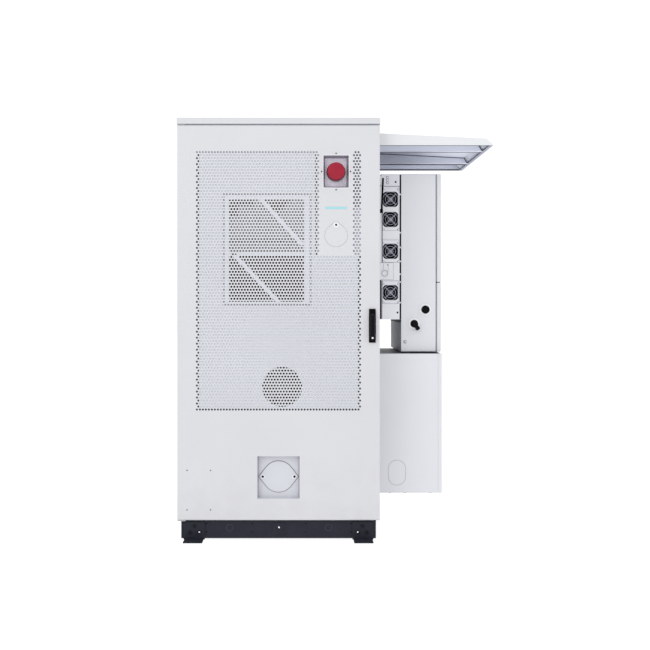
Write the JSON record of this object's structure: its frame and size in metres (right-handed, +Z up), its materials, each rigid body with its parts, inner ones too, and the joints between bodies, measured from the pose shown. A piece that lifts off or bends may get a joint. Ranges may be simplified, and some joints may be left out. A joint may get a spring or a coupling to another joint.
{
  "type": "outdoor battery cabinet",
  "caption": "Outdoor battery cabinet with a perforated swing door, door-mounted cooling unit, wall-hung inverter, wiring box, side canopy and rod-locked handle.",
  "frame": {"origin": "centre of the four floor anchor holes, on the floor", "axes": "+X to the right seen from the front, +Y to the back, +Z up; the door faces -Y and the inverter hangs on the +X side"},
  "size_m": [1.5005, 1.164, 1.978],
  "materials": {
    "cabinet_paint": "fine light grey powder coat",
    "door_paint": "fine light grey powder coat",
    "plinth_paint": "navy black powder coat",
    "foot_paint": "black powder coat",
    "zinc_steel": "zinc plated",
    "galvanised_sheet": "galvanised",
    "frame_steel": "grey paint",
    "backing_white": "white coat",
    "seal_rubber": "soft foam",
    "pack_paint": "black coat",
    "copper_bar": "tinned copper",
    "fire_red": "red enamel",
    "recess_plastic": "mauve grey",
    "button_red": "crimson",
    "collar_plastic": "dark grey",
    "strip_lens": "cyan lens",
    "inverter_paint": "light grey powder coat",
    "heatsink_alloy": "cast and machined",
    "fan_plastic": "black",
    "handle_plastic": "black",
    "cylinder_metal": "polished",
    "canopy_paint": "fine light grey powder coat",
    "antenna_black": "black",
    "coil_alloy": "finned coil"
  },
  "bodies": {
    "cabinet": {"plinth": "plinth_paint", "foot_brackets": "foot_paint", "foot_bolts": "zinc_steel", "floor_pan": "galvanised_sheet", "body_frame": "frame_steel", "side_panel_left": "cabinet_paint", "side_panel_right": "cabinet_paint", "rear_panel": "cabinet_paint", "roof_cap": "cabinet_paint", "door_surround": "cabinet_paint", "door_seal": "seal_rubber", "hinges_and_keepers": "zinc_steel", "battery_rack": "frame_steel", "battery_packs": "pack_paint", "busbar_links": "copper_bar", "control_box": "frame_steel", "fire_suppressor": "fire_red", "inverter_bracket": "galvanised_sheet", "inverter_enclosure": "inverter_paint", "inverter_cover_upper": "inverter_paint", "inverter_cover_lower": "inverter_paint", "inverter_heatsink": "heatsink_alloy", "fan_tray": "inverter_paint", "fan_frames": "fan_plastic", "inverter_fittings": "collar_plastic", "wiring_box": "cabinet_paint", "wiring_box_cover": "cabinet_paint", "canopy_roof": "canopy_paint", "canopy_frame": "canopy_paint", "antenna_base": "antenna_black"},
    "door": {"door_skin": "door_paint", "vent_panel": "door_paint", "door_backing": "backing_white", "door_inner_panel": "galvanised_sheet", "estop_recess": "recess_plastic", "led_strip": "strip_lens", "port_cup": "recess_plastic", "hose_recess": "door_paint", "hose_cover": "door_paint", "hvac_case": "galvanised_sheet", "hvac_coil": "coil_alloy", "handle_base": "handle_plastic", "door_fittings": "zinc_steel"},
    "rotor_1": {"fan_rotor_1": "fan_plastic"},
    "rotor_2": {"fan_rotor_2": "fan_plastic"},
    "rotor_3": {"fan_rotor_3": "fan_plastic"},
    "rotor_4": {"fan_rotor_4": "fan_plastic"},
    "dc_knob": {"dc_switch_knob": "collar_plastic"},
    "knuckle": {"antenna_knuckle": "antenna_black"},
    "whip": {"antenna_rod": "antenna_black"},
    "estop_stem": {"estop_plunger": "collar_plastic"},
    "estop_button": {"estop_head": "button_red"},
    "port_lid": {"port_cover": "door_paint"},
    "outer_fan": {"hvac_outer_fan": "fan_plastic"},
    "inner_fan": {"hvac_inner_fan": "fan_plastic"},
    "spindle": {"handle_spindle": "zinc_steel"},
    "lever": {"handle_lever": "handle_plastic"},
    "key_plug": {"key_cylinder": "cylinder_metal"},
    "upper_rod": {"lock_rod_upper": "zinc_steel"},
    "lower_rod": {"lock_rod_lower": "zinc_steel"}
  },
  "joints": [
    {"name": "door_swing", "type": "hinge", "parent": "cabinet", "child": "door", "pos_m": [-0.463, -0.509, 1], "axis": [0, 0, -1], "range_deg": [0, 110]},
    {"name": "estop_push", "type": "slide", "parent": "door", "child": "estop_stem", "axis": [0, 1, 0], "range_m": [0, 0.008]},
    {"name": "estop_twist", "type": "hinge", "parent": "estop_stem", "child": "estop_button", "pos_m": [0.2695, -0.525, 1.7255], "axis": [0, 1, 0], "range_deg": [0, 45]},
    {"name": "port_cover_swing", "type": "hinge", "parent": "door", "child": "port_lid", "pos_m": [0.2695, -0.525, 1.4757], "axis": [0, 1, 0], "range_deg": [-90, 90]},
    {"name": "handle_turn", "type": "hinge", "parent": "door", "child": "spindle", "pos_m": [0.4389, -0.525, 1.05], "axis": [0, 1, 0], "range_deg": [0, 90]},
    {"name": "handle_lift", "type": "hinge", "parent": "spindle", "child": "lever", "pos_m": [0.4389, -0.5398, 1.05], "axis": [-1, 0, 0], "range_deg": [0, 30]},
    {"name": "key_turn", "type": "hinge", "parent": "lever", "child": "key_plug", "pos_m": [0.4389, -0.5398, 0.9475], "axis": [0, 1, 0], "range_deg": [0, 90]},
    {"name": "lock_rod_upper_slide", "type": "slide", "parent": "door", "child": "upper_rod", "axis": [0, 0, 1], "range_m": [-0.03111, 0]},
    {"name": "lock_rod_lower_slide", "type": "slide", "parent": "door", "child": "lower_rod", "axis": [0, 0, 1], "range_m": [0, 0.03111]},
    {"name": "outer_fan_spin", "type": "hinge", "parent": "door", "child": "outer_fan", "pos_m": [0.017, 0, 0.718], "axis": [0, 1, 0], "continuous": true},
    {"name": "inner_fan_spin", "type": "hinge", "parent": "door", "child": "inner_fan", "pos_m": [-0.056, 0, 1.455], "axis": [0, 1, 0], "continuous": true},
    {"name": "rotor_1_spin", "type": "hinge", "parent": "cabinet", "child": "rotor_1", "pos_m": [0.549, -0.265, 1.6235], "axis": [0, 1, 0], "continuous": true},
    {"name": "rotor_2_spin", "type": "hinge", "parent": "cabinet", "child": "rotor_2", "pos_m": [0.549, -0.265, 1.5235], "axis": [0, 1, 0], "continuous": true},
    {"name": "rotor_3_spin", "type": "hinge", "parent": "cabinet", "child": "rotor_3", "pos_m": [0.549, -0.265, 1.366], "axis": [0, 1, 0], "continuous": true},
    {"name": "rotor_4_spin", "type": "hinge", "parent": "cabinet", "child": "rotor_4", "pos_m": [0.549, -0.265, 1.1615], "axis": [0, 1, 0], "continuous": true},
    {"name": "dc_switch_turn", "type": "hinge", "parent": "cabinet", "child": "dc_knob", "pos_m": [0.6662, -0.265, 1.0076], "axis": [0, 1, 0], "range_deg": [0, 90]},
    {"name": "antenna_swivel", "type": "hinge", "parent": "cabinet", "child": "knuckle", "pos_m": [0.501, -0.31, 1.561], "axis": [1, 0, 0], "range_deg": [0, 180]},
    {"name": "antenna_tilt", "type": "hinge", "parent": "knuckle", "child": "whip", "pos_m": [0.501, -0.31, 1.561], "axis": [0, 1, 0], "range_deg": [-2.5, 85]}
  ],
  "couplings": [
    {"joint": "lock_rod_upper_slide", "follows": "handle_turn", "m_per_rad": -0.019807},
    {"joint": "lock_rod_lower_slide", "follows": "handle_turn", "m_per_rad": 0.019807}
  ]
}
